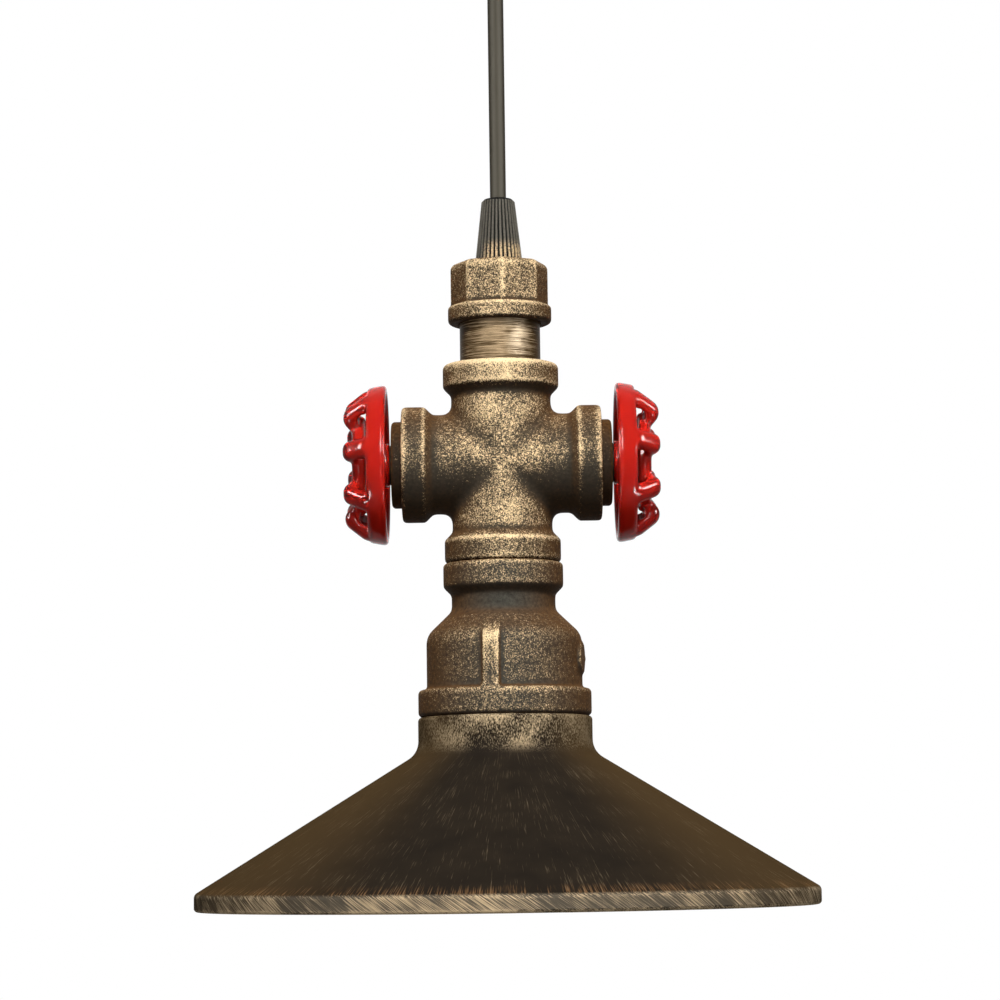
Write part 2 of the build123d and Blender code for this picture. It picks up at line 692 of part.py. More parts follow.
# Reducer: small bead, neck, rounded shoulder, barrel and large bead, with two ribs and a round pad
neck_bottom = cross_bottom - reducer_neck_end
barrel_top = neck_bottom - reducer_shoulder_rise
reducer_top_bead_end = cross_bottom - reducer_top_bead
reducer_bead_top = reducer_bottom + reducer_bead
socket_floor = cross_bottom - pipe_socket
reducer_inner = reducer_radius - reducer_wall
stop_bore = reducer_neck_radius - reducer_neck_wall
bead_step = reducer_top_bead_radius - reducer_neck_radius
rib_foot = reducer_bead_top - bead_round
with BuildPart() as reducer:
    with BuildSketch(Plane.XZ):
        with BuildLine():
            shoulder = FilletPolyline(
                (reducer_neck_radius, reducer_top_bead_end - bead_step),
                (reducer_neck_radius, neck_bottom),
                (reducer_radius, barrel_top),
                (reducer_radius, reducer_bead_top),
                radius=(reducer_neck_round, reducer_shoulder_round),
            )
            Polyline(
                shoulder @ 1,
                (reducer_bead_radius, reducer_bead_top),
                (reducer_bead_radius, reducer_bottom),
                (0, reducer_bottom),
                (0, cross_bottom),
                (reducer_top_bead_radius, cross_bottom),
                (reducer_top_bead_radius, reducer_top_bead_end),
                shoulder @ 0,
            )
        make_face()
    revolve(axis=Axis.Z)
    for height in (cross_bottom, reducer_top_bead_end, reducer_bottom):
        fillet(edges_at(reducer, Axis.Z, height), bead_round)
    fillet(edges_at(reducer, Axis.Z, reducer_bead_top).sort_by(SortBy.RADIUS)[-1], bead_round)
    for count in range(reducer_ribs):
        rib_direction = facing(reducer_rib_turn + count * 360 / reducer_ribs)
        with BuildSketch(radial_plane(Plane(origin=(0, 0, 0), x_dir=rib_direction))):
            with BuildLine():
                rib_line = FilletPolyline(
                    (reducer_radius - reducer_rib_root, barrel_top + reducer_rib_rise),
                    (reducer_radius + reducer_rib_proud, barrel_top),
                    (reducer_radius + reducer_rib_proud, reducer_bead_top + reducer_rib_flare),
                    (reducer_bead_radius, rib_foot),
                    radius=reducer_rib_round,
                )
                Polyline(
                    rib_line @ 1,
                    (reducer_radius - reducer_rib_root, rib_foot),
                    rib_line @ 0,
                )
            make_face()
        extrude(amount=reducer_rib_width / 2, both=True)
    pad_direction = facing(reducer_pad_turn)
    pad_centre = Vector(0, 0, cross_bottom - reducer_pad_below) + pad_direction * reducer_inner
    with BuildSketch(Plane(origin=pad_centre, x_dir=(0, 0, 1), z_dir=pad_direction)):
        Circle(reducer_pad_radius)
    extrude(amount=reducer_wall + reducer_pad_proud)
    turn_tube(pipe_hole, 0, socket_floor, cross_bottom, mode=Mode.SUBTRACT)
    turn(
        (0, socket_floor),
        (stop_bore, socket_floor),
        (stop_bore, neck_bottom),
        (reducer_inner, barrel_top),
        (reducer_inner, reducer_bottom),
        (0, reducer_bottom),
        mode=Mode.SUBTRACT,
    )
write(reducer, "reducer")

# Shade: one sheet from the clamped top, down the neck and out to the rim band, with a rolled hem
rim_band_top = rim_bottom + shade_rim_band
neck_foot = shade_top - shade_neck_height
hem_centre = (shade_rim_radius - shade_hem_radius, rim_bottom + shade_hem_radius)
with BuildPart() as shade:
    with BuildSketch(Plane.XZ):
        with BuildLine():
            outer_line = FilletPolyline(
                (ring_hole + screw_gap, shade_top),
                (shade_neck_radius, shade_top),
                (shade_neck_radius, neck_foot),
                (shade_rim_radius, rim_band_top),
                (shade_rim_radius, rim_bottom + shade_hem_radius),
                radius=(shade_top_round, shade_neck_round, shade_rim_round),
            )
            offset(outer_line, amount=shade_sheet, side=Side.RIGHT)
        make_face()
        with Locations(hem_centre):
            Circle(shade_hem_radius)
    revolve(axis=Axis.Z)
write(shade, "shade")

# Ring that screws onto the lampholder and clamps the shade up against the reducer
with BuildPart() as shade_ring:
    with BuildSketch(Plane.XY.offset(ring_bottom)):
        Circle(ring_radius)
        with PolarLocations(ring_radius, ring_notches):
            Circle(ring_notch_radius, mode=Mode.SUBTRACT)
    extrude(amount=ring_height)
    chamfer(shade_ring.faces().sort_by(Axis.Z)[0].edges(), ring_round)
    turn_tube(ring_hole, 0, ring_bottom, ring_top, mode=Mode.SUBTRACT)
write(shade_ring, "shade_ring")

# Lampholder: a domed cap on the tube, a skirt, and a ceramic insert with the screw shell
collar_bottom = holder_top - holder_collar_height
dome_swell = ((holder_collar_radius + skirt_outer) / 2, (collar_bottom + holder_skirt_top) / 2)
with BuildPart() as lampholder_cap:
    with BuildSketch(Plane.XZ):
        with BuildLine():
            dome = ThreePointArc(
                (holder_collar_radius, collar_bottom),
                (dome_swell[0] + holder_dome_bulge, dome_swell[1] + holder_dome_bulge),
                (skirt_outer, holder_skirt_top),
            )
            Polyline(
                dome @ 1,
                (skirt_outer - holder_dome_wall, holder_skirt_top),
                (tube_hole + holder_dome_wall, tube_bottom),
                (tube_hole, tube_bottom),
                (tube_hole, holder_top),
                (holder_collar_radius, holder_top),
                dome @ 0,
            )
        make_face()
    revolve(axis=Axis.Z)
write(lampholder_cap, "lampholder_cap")

with BuildPart() as lampholder_skirt:
    turn_tube(skirt_outer, skirt_inner, holder_mouth, holder_skirt_top)
write(lampholder_skirt, "lampholder_skirt")

with BuildPart() as lampholder_insert:
    turn_tube(insert_outer, 0, insert_bottom, insert_top)
    turn_tube(insert_inner, 0, insert_bottom, insert_underside, mode=Mode.SUBTRACT)
write(lampholder_insert, "lampholder_insert")

with BuildPart() as holder_terminals:
    with BuildSketch(Plane.XY.offset(insert_top)):
        with GridLocations(2 * holder_terminal_offset, 0, 2, 1):
            Circle(holder_terminal_radius)
    extrude(amount=holder_terminal_height)
write(holder_terminals, "holder_terminals")

with BuildPart() as screw_shell:
    turn_tube(shell_outer, shell_inner, insert_bottom, insert_underside)
write(screw_shell, "screw_shell")

with BuildPart() as centre_contact:
    turn_tube(contact_radius, 0, insert_underside - contact_thickness, insert_underside)
write(centre_contact, "centre_contact")

# Bulb: eyelet, insulator, screw cap with rolled thread, and a round glass
with BuildPart() as bulb_eyelet:
    turn_tube(eyelet_radius, 0, insulator_top, bulb_top)
    fillet(edges_at(bulb_eyelet, Axis.Z, bulb_top), eyelet_height / 2)
write(bulb_eyelet, "bulb_eyelet")

with BuildPart() as bulb_insulator:
    turn(
        (0, insulator_top),
        (eyelet_radius, insulator_top),
        (insulator_radius, bulb_cap_top),
        (0, bulb_cap_top),
    )
write(bulb_insulator, "bulb_insulator")

thread_root = bulb_cap_radius - bulb_thread_depth
cap_inner = thread_root - bulb_cap_wall
with BuildPart() as bulb_cap:
    turn_tube(thread_root, 0, bulb_cap_bottom, bulb_cap_top)
    for count in range(bulb_cap_threads):
        with Locations((0, 0, bulb_cap_top - bulb_first_thread - count * bulb_thread_pitch)):
            Torus(thread_root, bulb_thread_depth)
    turn_tube(cap_inner, 0, bulb_cap_bottom, bulb_cap_top - bulb_cap_wall, mode=Mode.SUBTRACT)
write(bulb_cap, "bulb_cap")

glass_neck = cap_inner - screw_gap
glass_top = bulb_cap_bottom + bulb_in_cap
glass_centre = bulb_bottom + bulb_radius
glass_rise = bulb_cap_bottom - glass_centre
with BuildPart() as bulb_glass:
    for inset, mode in ((0, Mode.ADD), (bulb_wall, Mode.SUBTRACT)):
        globe = bulb_radius - inset
        neck = glass_neck - inset
        with BuildSketch(Plane.XZ) as glass_outline:
            with BuildLine():
                globe_arc = CenterArc((0, glass_centre), globe, -90, 90)
                shoulder = Bezier(
                    globe_arc @ 1,
                    (globe, glass_centre + bulb_fullness * glass_rise),
                    (neck, bulb_cap_bottom - bulb_neck_fullness * glass_rise),
                    (neck, bulb_cap_bottom),
                )
                Polyline(shoulder @ 1, (neck, glass_top), (0, glass_top), globe_arc @ 0)
            make_face()
        revolve(glass_outline.sketch, axis=Axis.Z, mode=mode)
write(bulb_glass, "bulb_glass")
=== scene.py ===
"""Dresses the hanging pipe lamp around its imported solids.

Metres, +Z up to the ceiling, -Y to the front, +X to the right-hand handwheel.
"""
import json
import logging
import math
from dataclasses import dataclass
from enum import Enum
from typing import Any, Mapping, Optional, Sequence, Union

import bpy
import numpy as np
from mathutils import Matrix, Vector


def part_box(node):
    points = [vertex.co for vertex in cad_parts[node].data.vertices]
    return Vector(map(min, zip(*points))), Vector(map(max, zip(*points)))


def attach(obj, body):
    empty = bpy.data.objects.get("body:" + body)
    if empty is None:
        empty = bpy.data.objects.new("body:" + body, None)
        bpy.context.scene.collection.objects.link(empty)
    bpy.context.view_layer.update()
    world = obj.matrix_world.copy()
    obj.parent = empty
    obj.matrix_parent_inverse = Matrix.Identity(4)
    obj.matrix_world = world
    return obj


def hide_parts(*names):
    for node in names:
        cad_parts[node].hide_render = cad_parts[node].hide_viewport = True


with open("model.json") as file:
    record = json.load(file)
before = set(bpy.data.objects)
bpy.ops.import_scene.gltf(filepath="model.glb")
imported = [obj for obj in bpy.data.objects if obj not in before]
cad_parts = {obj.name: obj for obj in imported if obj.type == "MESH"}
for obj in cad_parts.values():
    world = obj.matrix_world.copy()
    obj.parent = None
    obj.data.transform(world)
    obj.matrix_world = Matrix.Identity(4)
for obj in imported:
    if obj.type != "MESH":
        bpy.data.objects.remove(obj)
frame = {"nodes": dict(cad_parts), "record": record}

MM = 0.001
EVEN = 0.5  # the value that noise and wear lie about
Colour = tuple[float, float, float]
Triple = tuple[float, float, float]
log = logging.getLogger("pipe_lamp")


class Signal:
    """A shader value, so that maths on it is written as a Python expression."""

    def __init__(self, sheet: "NodeSheet", socket: bpy.types.NodeSocket) -> None:
        """Hold the sheet that the value is on and the socket that gives it."""
        self.sheet = sheet
        self.socket = socket

    def _maths(self, operation: str, *operands: "Number") -> "Signal":
        """Add one Math node and return its result."""
        inputs = dict(enumerate(operands))
        return self.sheet.node("ShaderNodeMath", {"operation": operation}, inputs)

    def __add__(self, other: "Number") -> "Signal":
        """Sum."""
        return self._maths("ADD", self, other)

    def __radd__(self, other: float) -> "Signal":
        """Sum, with the number first."""
        return self._maths("ADD", other, self)

    def __sub__(self, other: "Number") -> "Signal":
        """Difference."""
        return self._maths("SUBTRACT", self, other)

    def __rsub__(self, other: float) -> "Signal":
        """Difference, with the number first."""
        return self._maths("SUBTRACT", other, self)

    def __mul__(self, other: "Number") -> "Signal":
        """Product."""
        return self._maths("MULTIPLY", self, other)

    def __rmul__(self, other: float) -> "Signal":
        """Product, with the number first."""
        return self._maths("MULTIPLY", other, self)

    def __truediv__(self, other: "Number") -> "Signal":
        """Quotient."""
        return self._maths("DIVIDE", self, other)

    def __pow__(self, other: float) -> "Signal":
        """Power."""
        return self._maths("POWER", self, other)

    def __abs__(self) -> "Signal":
        """Distance from nought."""
        return self._maths("ABSOLUTE", self)

    def larger(self, other: "Number") -> "Signal":
        """The larger of two values."""
        return self._maths("MAXIMUM", self, other)

    def rise(self, low: float, high: float) -> "Signal":
        """Fade from 0 at low to 1 at high, evenly eased.

        Args:
            low: where the fade starts.
            high: where it ends, which may be below low for a fade that falls.

        Returns:
            The eased share, held at 0 and 1 outside the fade.
        """
        settings = {"interpolation_type": "SMOOTHSTEP"}
        inputs = {"Value": self, "From Min": min(low, high), "From Max": max(low, high)}
        share = self.sheet.node("ShaderNodeMapRange", settings, inputs)
        return share if low < high else 1.0 - share


Number = Union[Signal, float]
Paint = Union[Signal, Colour]


def from_axis(x: Signal, y: Signal) -> Signal:
    """The distance from the upright axis."""
    return (x * x + y * y) ** 0.5


def darker(colour: Colour, share: float) -> Colour:
    """A colour with a share of its light taken away."""
    return tuple(part * (1.0 - share) for part in colour)


class NodeSheet:
    """Lays out the shader nodes of one tree."""

    # A Mix node's colour sockets go by place, because its other sockets have the same names.
    MIX_SHARE, MIX_LOW, MIX_HIGH, MIX_RESULT = 0, 6, 7, 2

    def __init__(self, tree: bpy.types.NodeTree, output: str) -> None:
        """Empty a tree and give it its output.

        Args:
            tree: the tree of a material or a world.
            output: the type of its output node.
        """
        self.tree = tree
        self.tree.nodes.clear()
        self.output = self.add(output)

    def feed(self, socket: bpy.types.NodeSocket, value: Any) -> None:
        """Link a signal to a socket, or set a plain value on it.

        Args:
            socket: the input.
            value: a signal, or what the input takes.
        """
        if isinstance(value, Signal):
            self.tree.links.new(value.socket, socket)
        elif socket.type == "RGBA":
            socket.default_value = (*value, 1.0)
        else:
            socket.default_value = value

    def add(
        self,
        kind: str,
        settings: Optional[Mapping[str, Any]] = None,
        inputs: Optional[Mapping[Union[int, str], Any]] = None,
    ) -> bpy.types.Node:
        """Add a node.

        Args:
            kind: the node's type.
            settings: its own properties, set before anything is linked.
            inputs: values or signals for its sockets, by name or place.

        Returns:
            The node.
        """
        made = self.tree.nodes.new(kind)
        for name, value in (settings or {}).items():
            setattr(made, name, value)
        for key, value in (inputs or {}).items():
            self.feed(made.inputs[key], value)
        return made

    def node(
        self,
        kind: str,
        settings: Optional[Mapping[str, Any]] = None,
        inputs: Optional[Mapping[Union[int, str], Any]] = None,
        output: Union[int, str] = 0,
    ) -> Signal:
        """Add a node, as add does, and give one of its outputs as a signal."""
        return Signal(self, self.add(kind, settings, inputs).outputs[output])

    def place(self) -> Signal:
        """The point on the piece, in its own metres."""
        return self.node("ShaderNodeTexCoord", output="Object")

    def facing(self) -> Signal:
        """The way that the surface faces, on the piece's own axes."""
        return self.node("ShaderNodeTexCoord", output="Normal")

    def split(self, vector: Signal) -> tuple[Signal, Signal, Signal]:
        """The three parts of a vector."""
        parts = self.add("ShaderNodeSeparateXYZ", inputs={0: vector})
        return tuple(Signal(self, output) for output in parts.outputs)

    def join(self, x: Number, y: Number, z: Number) -> Signal:
        """A vector from its three parts."""
        return self.node("ShaderNodeCombineXYZ", inputs={0: x, 1: y, 2: z})

    def stretch(self, vector: Signal, sizes: Triple) -> Signal:
        """A vector counted in cells of the given size along each axis."""
        scale = tuple(1.0 / size for size in sizes)
        return self.node("ShaderNodeVectorMath", {"operation": "MULTIPLY"}, {0: vector, 1: scale})

    def noise(
        self, vector: Signal, size: float = 1.0, detail: float = 2.0, roughness: float = 0.55
    ) -> Signal:
        """Cloudy noise about 0.5.

        Args:
            vector: where it is read.
            size: how wide one cloud is, in the vector's own unit.
            detail: how many finer layers it has.
            roughness: how strong the finer layers are.

        Returns:
            The noise.
        """
        values = {"Vector": vector, "Scale": 1.0 / size, "Detail": detail, "Roughness": roughness}
        return self.node("ShaderNodeTexNoise", inputs=values)

    def attribute(self, name: str) -> Signal:
        """A value that the mesh carries at its points."""
        return self.node("ShaderNodeAttribute", {"attribute_name": name}, output="Fac")

    def mix(self, share: Number, low: Paint, high: Paint) -> Signal:
        """A colour between two others."""
        inputs = {self.MIX_SHARE: share, self.MIX_LOW: low, self.MIX_HIGH: high}
        return self.node("ShaderNodeMix", {"data_type": "RGBA"}, inputs, self.MIX_RESULT)

    def bump(self, height: Signal, distance: float, strength: float = 0.4) -> Signal:
        """The surface's direction over small bumps of the given height."""
        values = {"Height": height, "Distance": distance, "Strength": strength}
        return self.node("ShaderNodeBump", inputs=values, output="Normal")

    def seen(self) -> Signal:
        """Find where the surface is looked at, straight, in a reflection or through glass.

        Returns:
            1 there and 0 elsewhere.
        """
        camera, glossy, transmission = (
            self.node("ShaderNodeLightPath", output=f"Is {kind} Ray")
            for kind in ("Camera", "Glossy", "Transmission")
        )
        return camera.larger(glossy).larger(transmission)

    def blend(self, share: Signal, low: Signal, high: Signal) -> Signal:
        """A shader between two others."""
        return self.node("ShaderNodeMixShader", inputs={0: share, 1: low, 2: high})

    def show(self, shader: Signal) -> None:
        """Let the tree's output show a shader."""
        self.feed(self.output.inputs["Surface"], shader)


class MaterialSheet(NodeSheet):
    """Lays out the shader nodes of one material."""

    def __init__(self, name: str) -> None:
        """Start a material that has only its surface shader.

        Args:
            name: the material's name.
        """
        self.material = bpy.data.materials.new(name)
        self.material.use_nodes = True
        super().__init__(self.material.node_tree, "ShaderNodeOutputMaterial")
        self.shader = self.add("ShaderNodeBsdfPrincipled")
        self.shaded = Signal(self, self.shader.outputs["BSDF"])
        self.show(self.shaded)

    def surface(self, **sockets: Any) -> None:
        """Set the surface shader's sockets, named with underscores."""
        for name, value in sockets.items():
            self.feed(self.shader.inputs[name.replace("_", " ")], value)

    def glow(self, share: Signal, colour: Colour) -> None:
        """Let an even glow take a share of the surface's own shading."""
        light = self.node("ShaderNodeEmission", inputs={"Color": colour, "Strength": 1.0})
        self.show(self.blend(share, self.shaded, light))


class Finish:
    """How one kind of surface looks."""

    def paint(self, sheet: MaterialSheet) -> None:
        """Lay the finish out on a material's nodes."""
        raise NotImplementedError

    def material(self, name: str) -> bpy.types.Material:
        """Make a material with this finish.

        Args:
            name: the material's name.

        Returns:
            The material.
        """
        sheet = MaterialSheet(name)
        self.paint(sheet)
        return sheet.material


@dataclass(frozen=True)
class CastBronze(Finish):
    """Sand-cast metal in dark lacquer, gold rubbed over its grain, with painted shade on its sides
    and undersides and a painted warm glow on its sides.
    """

    rub: float = 0.5
    patchiness: float = 0.3
    black: Colour = (0.019, 0.017, 0.014)
    grey: Colour = (0.080, 0.068, 0.048)
    # Painted warm glow on the faces that turn sideways.
    painted_side_glow: Colour = (0.165, 0.070, 0.016)
    old_gold: Colour = (0.31, 0.175, 0.072)
    bright_gold: Colour = (0.82, 0.61, 0.35)
    grain: float = 0.42 * MM
    fleck: float = 1.092 * MM
    patch: float = 9 * MM
    grain_share: float = 0.7
    crest_gain: float = 0.5
    hollow_loss: float = 0.5
    # Painted shade: the gold that sideways faces lose, then the gold lost and the black laid on
    # undersides.
    painted_side_shade: float = 0.22
    under_shade_loss: float = 0.32
    under_shade_black: float = 0.65
    under_shade_start: float = 0.1
    under_shade_full: float = -0.6
    gold_start: float = 0.37
    gold_full: float = 0.66
    gold_give: float = 0.5
    bright_start: float = 0.24
    bright_full: float = 0.66
    bright_give: float = 0.8
    roughness: float = 0.62
    gold_gloss: float = 0.2
    gold_metal: float = 0.12
    shine: float = 0.01
    grain_height: float = 0.35 * MM
    grain_bump: float = 0.7

    def rub_here(self, x: Signal, y: Signal, z: Signal) -> Number:
        """How much gold there is at a place, before wear."""
        return self.rub

    def paint(self, sheet: MaterialSheet) -> None:
        """Put gold on the grain's tops and on crests, and bare lacquer in the hollows; paint shade
        on the sides and undersides and a warm glow on the sides.

        Args:
            sheet: the material's nodes.
        """
        place = sheet.place()
        grain = sheet.noise(place, self.grain, roughness=0.5)
        fleck = sheet.noise(place, self.fleck)
        patch = sheet.noise(place, self.patch, detail=3.0)
        crest, hollow = sheet.attribute("crest"), sheet.attribute("hollow")
        _, front, up = sheet.split(sheet.facing())
        # Painted light by facing: sideways faces lose gold and take a warm glow, undersides lose
        # gold and go black.
        side = 1.0 - front * front
        under_shade = up.rise(self.under_shade_start, self.under_shade_full)
        height = self.grain_share * grain + (1.0 - self.grain_share) * fleck
        wear_and_shade = self.crest_gain * crest - self.hollow_loss * hollow
        wear_and_shade = self.patchiness * (patch - EVEN) + wear_and_shade - self.painted_side_shade * side
        rub = wear_and_shade - self.under_shade_loss * under_shade - EVEN + self.rub_here(*sheet.split(place))
        gold = (height + self.gold_give * rub).rise(self.gold_start, self.gold_full)
        bright = (grain + self.bright_give * rub).rise(self.bright_start, self.bright_full)
        ahead = sheet.mix(fleck, self.black, self.grey)
        aside = sheet.mix(fleck, self.black, self.painted_side_glow)
        lacquer = sheet.mix(self.under_shade_black * under_shade, sheet.mix(side, ahead, aside), self.black)
        sheet.surface(
            Base_Color=sheet.mix(gold, lacquer, sheet.mix(bright, self.old_gold, self.bright_gold)),
            Roughness=self.roughness - self.gold_gloss * gold,
            Metallic=self.gold_metal * gold,
            Specular_IOR_Level=self.shine,
            Normal=sheet.bump(height, self.grain_height, self.grain_bump),
        )


@dataclass(frozen=True)
class CrossBronze(CastBronze):
    """The cross's finish: most gold on the upright barrel, least on the side beads."""

    middle: float = 0.0
    upper_gain: float = 0.10
    lower_gain: float = 0.07
    arm_loss: float = 0.05
    bead_loss: float = 0.10
    barrel_start: float = 8 * MM
    barrel_full: float = 17 * MM
    bead_start: float = 21 * MM
    bead_full: float = 27 * MM

    def rub_here(self, x: Signal, y: Signal, z: Signal) -> Signal:
        """Rub more above and below the middle, less on the arms and on all beads but the top one.

        Args:
            x: the place's part along the arms.
            y: its part from front to back, not used.
            z: its height.

        Returns:
            How much gold there is, before wear.
        """
        upper = z.rise(self.middle + self.barrel_start, self.middle + self.barrel_full)
        lower = z.rise(self.middle - self.barrel_start, self.middle - self.barrel_full)
        arm = abs(x).rise(self.barrel_start, self.barrel_full)
        bead = abs(x).larger(self.middle - z).rise(self.bead_start, self.bead_full)
        gain = self.upper_gain * upper + self.lower_gain * lower
        return self.rub + gain - self.arm_loss * arm - self.bead_loss * bead


@dataclass(frozen=True)
class ReducerBronze(CastBronze):
    """The reducer's finish: no gold left on its neck, most on its two ribs."""

    top: float = 0.0
    neck_start: float = 9.5 * MM
    neck_end: float = 17 * MM
    fade: float = 1.5 * MM
    rib_turn: float = -9.6
    rib_gain: float = 0.26
    rib_edge: float = 2.6 * MM
    rib_edge_fade: float = 0.3 * MM
    rib_start: float = 21.5 * MM
    rib_end: float = 42 * MM

    def rub_here(self, x: Signal, y: Signal, z: Signal) -> Signal:
        """Rub nothing between the neck's two ends, and more on the line of the ribs.

        Args:
            x: the place's part from left to right.
            y: its part from front to back.
            z: its height.

        Returns:
            How much gold there is, before wear.
        """
        high, low = self.top - self.neck_start, self.top - self.neck_end
        neck = z.rise(high + self.fade, high - self.fade) * z.rise(low - self.fade, low + self.fade)
        high, low = self.top - self.rib_start, self.top - self.rib_end
        height = z.rise(high + self.fade, high - self.fade) * z.rise(low, high)
        turn = math.radians(self.rib_turn)
        beside = abs(math.cos(turn) * x + math.sin(turn) * y)
        rib = beside.rise(self.rib_edge + self.rib_edge_fade, self.rib_edge - self.rib_edge_fade)
        return self.rub - neck + self.rib_gain * rib * height


@dataclass(frozen=True)
class BrushedPipe(Finish):
    """Turned pipe, brushed round and round through dark lacquer, with painted shade at its sides
    and a painted highlight in front.
    """

    ground: Colour = (0.045, 0.025, 0.008)
    gold: Colour = (0.50, 0.36, 0.21)
    # Colour of the painted highlight.
    highlight_gold: Colour = (0.86, 0.68, 0.46)
    streak_length: float = 12 * MM
    streak_width: float = 0.22 * MM
    streak_height: float = 0.1 * MM
    streak_bump: float = 0.5
    cloud: float = 9 * MM
    cloud_sway: float = 0.35
    painted_side_shade: float = 0.34
    gold_start: float = 0.27
    gold_full: float = 0.62
    # Painted highlight: where it lies right of the middle, how wide it is, how it fades in and how
    # far it faces the front.
    highlight_place: float = 5.5 * MM
    highlight_width: float = 6.5 * MM
    highlight_start: float = 0.8
    highlight_full: float = 1.1
    highlight_front: float = -0.8
    roughness: float = 0.36
    gold_gloss: float = 0.1
    gold_metal: float = 0.6
    shine: float = 0.02

    def paint(self, sheet: MaterialSheet) -> None:
        """Streak gold round the dark ground, less at the sides as painted shade, and paint a
        highlight on one patch in front.

        Args:
            sheet: the material's nodes.
        """
        place = sheet.place()
        x, _, _ = sheet.split(place)
        _, front, _ = sheet.split(sheet.facing())
        cells = sheet.stretch(place, (self.streak_length, self.streak_length, self.streak_width))
        streak = sheet.noise(cells, detail=3.0, roughness=0.65)
        cloud = sheet.noise(place, self.cloud)
        # Painted shade: less gold where the pipe faces sideways.
        side = 1.0 - front * front
        wear_and_shade = streak + self.cloud_sway * (cloud - EVEN) - self.painted_side_shade * side
        gold = wear_and_shade.rise(self.gold_start, self.gold_full)
        # Painted highlight: a bright patch on the front, right of the middle.
        patch = abs(x - self.highlight_place).rise(self.highlight_width, 0.0)
        painted_highlight = patch * front.rise(0.0, self.highlight_front)
        painted_highlight = painted_highlight * (cloud + streak).rise(self.highlight_start, self.highlight_full)
        sheet.surface(
            Base_Color=sheet.mix(gold, self.ground, sheet.mix(painted_highlight, self.gold, self.highlight_gold)),
            Roughness=self.roughness - self.gold_gloss * gold,
            Metallic=self.gold_metal * gold,
            Specular_IOR_Level=self.shine,
            Normal=sheet.bump(streak, self.streak_height, self.streak_bump),
        )


@dataclass(frozen=True)
class RedEnamel(Finish):
    """Thick gloss enamel, darker where it has pooled."""

    red: Colour = (0.41, 0.010, 0.005)
    pooled: Colour = (0.25, 0.005, 0.003)
    wave: float = 4 * MM
    wave_height: float = 0.3 * MM
    wave_sway: float = 0.3
    roughness: float = 0.10
    wave_roughness: float = 0.08
    shine: float = 0.03
    coat: float = 0.04
    coat_roughness: float = 0.08

    def paint(self, sheet: MaterialSheet) -> None:
        """Lay red with slow waves under a clear gloss.

        Args:
            sheet: the material's nodes.
        """
        wave = sheet.noise(sheet.place(), self.wave, detail=1.0)
        pooled = sheet.attribute("hollow") + self.wave_sway * (wave - EVEN)
        sheet.surface(
            Base_Color=sheet.mix(pooled.rise(0.0, 1.0), self.red, self.pooled),
            Roughness=self.roughness + self.wave_roughness * wave,
            Specular_IOR_Level=self.shine,
            Coat_Weight=self.coat,
            Coat_Roughness=self.coat_roughness,
            Normal=sheet.bump(wave, self.wave_height),
        )


@dataclass(frozen=True)
class Dusting:
    """How gold lies on a zone: how far clouds sway it, where it starts and is full, its most."""

    sway: float
    start: float
    full: float
    most: float = 1.0

    def on(self, grain: Signal, cloud: Signal) -> Signal:
        """The share of gold on a grain, among clouds."""
        return self.most * (grain + self.sway * (cloud - EVEN)).rise(self.start, self.full)


